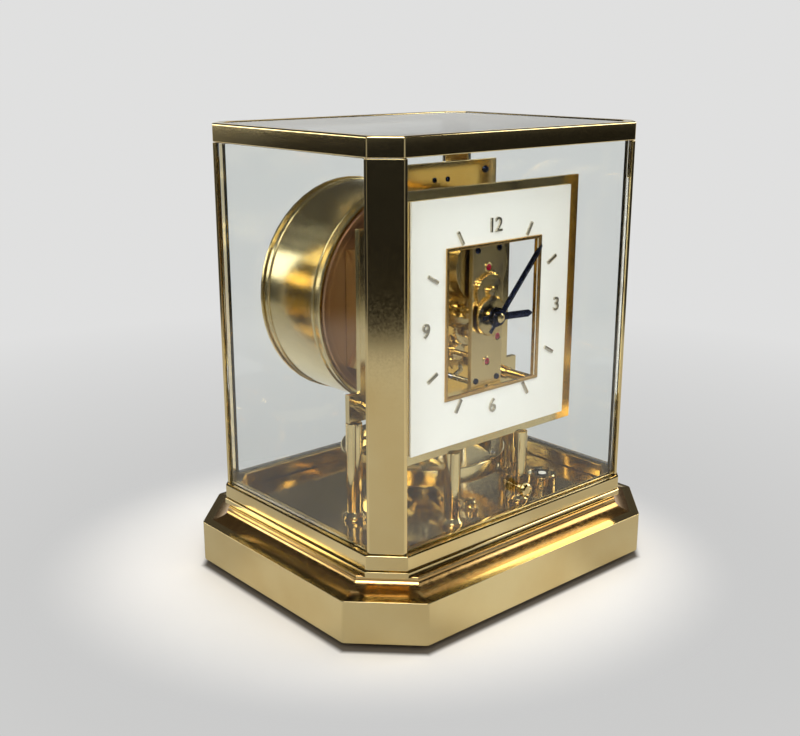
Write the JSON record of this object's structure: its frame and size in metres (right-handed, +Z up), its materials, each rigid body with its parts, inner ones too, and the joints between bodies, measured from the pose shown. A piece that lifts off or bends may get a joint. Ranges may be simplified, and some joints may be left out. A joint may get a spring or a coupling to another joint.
{
  "type": "atmospheric clock",
  "caption": "Glazed gilt mantel clock wound by changes of air temperature: a square dial with an open centre, a wheel train, a hanging torsion balance and a round bellows drum.",
  "frame": {"origin": "on the surface that the clock stands on, under the middle of the plinth", "axes": "+Z up, the front with the dial faces -Y, +X to the right as seen from the front"},
  "size_m": [0.208, 0.172, 0.2289],
  "materials": {
    "gilt": "polished and gilt",
    "copper": "satin, copper coloured",
    "steel": "polished",
    "blued_steel": "blued, polished",
    "dial_white": "satin white",
    "glass": "clear, polished"
  },
  "bodies": {
    "case": {"back_plate": "gilt", "base_plinth": "gilt", "bellows_capsule": "copper", "bellows_drum": "gilt", "dial": "dial_white", "drum_bracket_left": "gilt", "drum_bracket_right": "gilt", "drum_cover": "gilt", "floor_plate": "gilt", "front_leg_left": "gilt", "front_leg_right": "gilt", "front_plate": "gilt", "left_glass": "glass", "level_cup": "gilt", "level_vial": "glass", "lock_boss": "gilt", "lower_frame": "gilt", "plate_pillar_left": "gilt", "plate_pillar_right": "gilt", "plate_pillar_top": "gilt", "post_front_left": "gilt", "post_front_right": "gilt", "post_rear_left": "gilt", "post_rear_right": "gilt", "pulley_bracket": "gilt", "rear_foot": "gilt", "rear_glass": "glass", "rear_leg_left": "gilt", "rear_leg_right": "gilt", "return_spring": "steel", "right_glass": "glass", "suspension_bracket": "gilt", "top_frame": "gilt", "top_glass": "glass", "train_bridge": "gilt"},
    "minute": {"minute_hand": "blued_steel", "cannon_pinion": "steel", "centre_wheel": "gilt"},
    "hour": {"hour_hand": "blued_steel", "hour_wheel": "gilt"},
    "motion": {"minute_wheel": "gilt"},
    "barrel_body": {"barrel": "copper"},
    "third": {"third_wheel": "gilt"},
    "escape": {"escape_wheel": "copper"},
    "fork": {"pallet_fork": "steel"},
    "balance": {"balance_ring": "gilt", "balance_staff": "steel", "torsion_wire": "steel"},
    "lever": {"lock_lever": "gilt"},
    "lifter": {"lock_lifter": "steel"},
    "front_door": {"front_glass": "glass", "front_knob": "gilt"},
    "foot_left": {"levelling_foot_left": "steel"},
    "foot_right": {"levelling_foot_right": "steel"},
    "wheel_left": {"levelling_wheel_left": "gilt"},
    "wheel_right": {"levelling_wheel_right": "gilt"},
    "pressure": {"pressure_plate": "steel", "winding_chain": "steel"},
    "pulley": {"winding_pulley": "gilt"},
    "click_body": {"click": "steel"}
  },
  "joints": [
    {"name": "minute_hand_turn", "type": "hinge", "parent": "case", "child": "minute", "pos_m": [0, 0, 0.1382], "axis": [0, 1, 0], "continuous": true},
    {"name": "hour_hand_turn", "type": "hinge", "parent": "case", "child": "hour", "pos_m": [0, 0, 0.1382], "axis": [0, 1, 0], "continuous": true},
    {"name": "motion_turn", "type": "hinge", "parent": "case", "child": "motion", "pos_m": [0, 0, 0.1502], "axis": [0, 1, 0], "continuous": true},
    {"name": "barrel_turn", "type": "hinge", "parent": "case", "child": "barrel_body", "pos_m": [0, 0, 0.16196], "axis": [0, 1, 0], "continuous": true},
    {"name": "third_turn", "type": "hinge", "parent": "case", "child": "third", "pos_m": [0.007, 0, 0.12666], "axis": [0, 1, 0], "continuous": true},
    {"name": "escape_turn", "type": "hinge", "parent": "case", "child": "escape", "pos_m": [0, 0, 0.11511], "axis": [0, 1, 0], "continuous": true},
    {"name": "fork_rock", "type": "hinge", "parent": "case", "child": "fork", "pos_m": [0, 0, 0.10161], "axis": [0, 1, 0], "range_deg": [-3, 3]},
    {"name": "balance_swing", "type": "hinge", "parent": "case", "child": "balance", "pos_m": [0, 0.002, 0.0515], "axis": [0, 0, 1], "range_deg": [-270, 270], "stiffness_Nm_per_rad": 0.0000025},
    {"name": "lock_lever_turn", "type": "hinge", "parent": "case", "child": "lever", "pos_m": [0, 0.002, 0.0382], "axis": [0, 0, 1], "range_deg": [0, 30]},
    {"name": "lock_lift", "type": "slide", "parent": "case", "child": "lifter", "axis": [0, 0, 1], "range_m": [0, 0.0022]},
    {"name": "front_glass_lift", "type": "slide", "parent": "case", "child": "front_door", "axis": [0, 0, 1], "range_m": [0, 0.0045]},
    {"name": "foot_screw_left", "type": "slide", "parent": "case", "child": "foot_left", "axis": [0, 0, 1], "range_m": [-0.0015, 0.0015]},
    {"name": "foot_screw_right", "type": "slide", "parent": "case", "child": "foot_right", "axis": [0, 0, 1], "range_m": [-0.0015, 0.0015]},
    {"name": "foot_wheel_turn_left", "type": "hinge", "parent": "foot_left", "child": "wheel_left", "pos_m": [-0.078, -0.06, 0.0044], "axis": [0, 0, 1], "range_deg": [-361, 361]},
    {"name": "foot_wheel_turn_right", "type": "hinge", "parent": "foot_right", "child": "wheel_right", "pos_m": [0.078, -0.06, 0.0044], "axis": [0, 0, 1], "range_deg": [-361, 361]},
    {"name": "bellows_breathe", "type": "slide", "parent": "case", "child": "pressure", "axis": [0, 1, 0], "range_m": [-0.003, 0.003], "stiffness_N_per_m": 600, "deforming": ["return_spring", "bellows_capsule"]},
    {"name": "pulley_turn", "type": "hinge", "parent": "case", "child": "pulley", "pos_m": [0.0065, 0.0027, 0.1319], "axis": [-1, 0, 0], "range_deg": [-27.29, 27.29]},
    {"name": "click_lift", "type": "hinge", "parent": "case", "child": "click_body", "pos_m": [0.0087, 0.0027, 0.1209], "axis": [1, 0, 0], "range_deg": [0, 10], "stiffness_Nm_per_rad": 0.0005, "springref_deg": -20.05}
  ],
  "couplings": [
    {"joint": "hour_hand_turn", "follows": "minute_hand_turn", "ratio": 0.083333},
    {"joint": "motion_turn", "follows": "minute_hand_turn", "ratio": -0.33333},
    {"joint": "barrel_turn", "follows": "minute_hand_turn", "ratio": -0.2},
    {"joint": "third_turn", "follows": "minute_hand_turn", "ratio": -2},
    {"joint": "escape_turn", "follows": "minute_hand_turn", "ratio": 4},
    {"joint": "lock_lift", "follows": "lock_lever_turn", "m_per_rad": 0.0042007},
    {"joint": "foot_wheel_turn_left", "follows": "foot_screw_left", "rad_per_m": -4188.8},
    {"joint": "foot_wheel_turn_right", "follows": "foot_screw_right", "rad_per_m": -4188.8},
    {"joint": "pulley_turn", "follows": "bellows_breathe", "rad_per_m": 158.73}
  ]
}
